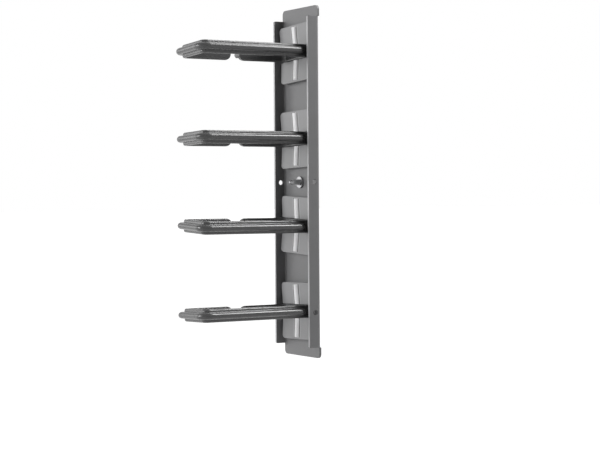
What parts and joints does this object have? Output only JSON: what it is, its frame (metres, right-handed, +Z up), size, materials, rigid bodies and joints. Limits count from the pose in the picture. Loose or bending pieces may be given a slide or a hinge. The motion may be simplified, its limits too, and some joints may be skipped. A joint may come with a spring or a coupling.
{
  "type": "vertical cable manager",
  "caption": "Narrow folded channel that stands off a rack post and carries a column of open cable rings, each turning a few degrees on its own pivot.",
  "frame": {"origin": "centre of the stand-off pillar's rear face, where it seats on the rack post", "axes": "+Z up along the channel; the rings point towards -Y; +X is to the right seen from the front"},
  "size_m": [0.0454, 0.0985, 0.2366],
  "materials": {
    "channel_steel": "dark powder coat, satin",
    "plate_steel": "dark powder coat, satin",
    "ring_plastic": "black moulded plastic, semi-gloss",
    "stud_steel": "dark zinc plate",
    "zinc_steel": "bright zinc plate"
  },
  "bodies": {
    "back_frame": {"back_channel": "channel_steel", "standoff_pillar": "zinc_steel", "mounting_stud": "stud_steel", "clinch_nut": "stud_steel"},
    "ring_unit_1": {"cable_ring_1": "ring_plastic", "saddle_plate_1": "plate_steel", "pivot_washer_1": "zinc_steel", "pivot_screw_1": "zinc_steel"},
    "ring_unit_2": {"cable_ring_2": "ring_plastic", "saddle_plate_2": "plate_steel", "pivot_washer_2": "zinc_steel", "pivot_screw_2": "zinc_steel"},
    "ring_unit_3": {"cable_ring_3": "ring_plastic", "saddle_plate_3": "plate_steel", "pivot_washer_3": "zinc_steel", "pivot_screw_3": "zinc_steel"},
    "ring_unit_4": {"cable_ring_4": "ring_plastic", "saddle_plate_4": "plate_steel", "pivot_washer_4": "zinc_steel", "pivot_screw_4": "zinc_steel"}
  },
  "joints": [
    {"name": "ring_1_pivot", "type": "hinge", "parent": "back_frame", "child": "ring_unit_1", "pos_m": [0, -0.01075, 0.0873], "axis": [0, 1, 0], "range_deg": [-2, 8]},
    {"name": "ring_2_pivot", "type": "hinge", "parent": "back_frame", "child": "ring_unit_2", "pos_m": [0, -0.01075, 0.0291], "axis": [0, 1, 0], "range_deg": [-3.2, 6.8]},
    {"name": "ring_3_pivot", "type": "hinge", "parent": "back_frame", "child": "ring_unit_3", "pos_m": [0, -0.01075, -0.0291], "axis": [0, 1, 0], "range_deg": [-7.6, 2.4]},
    {"name": "ring_4_pivot", "type": "hinge", "parent": "back_frame", "child": "ring_unit_4", "pos_m": [0, -0.01075, -0.0873], "axis": [0, 1, 0], "range_deg": [-3.4, 6.6]}
  ]
}
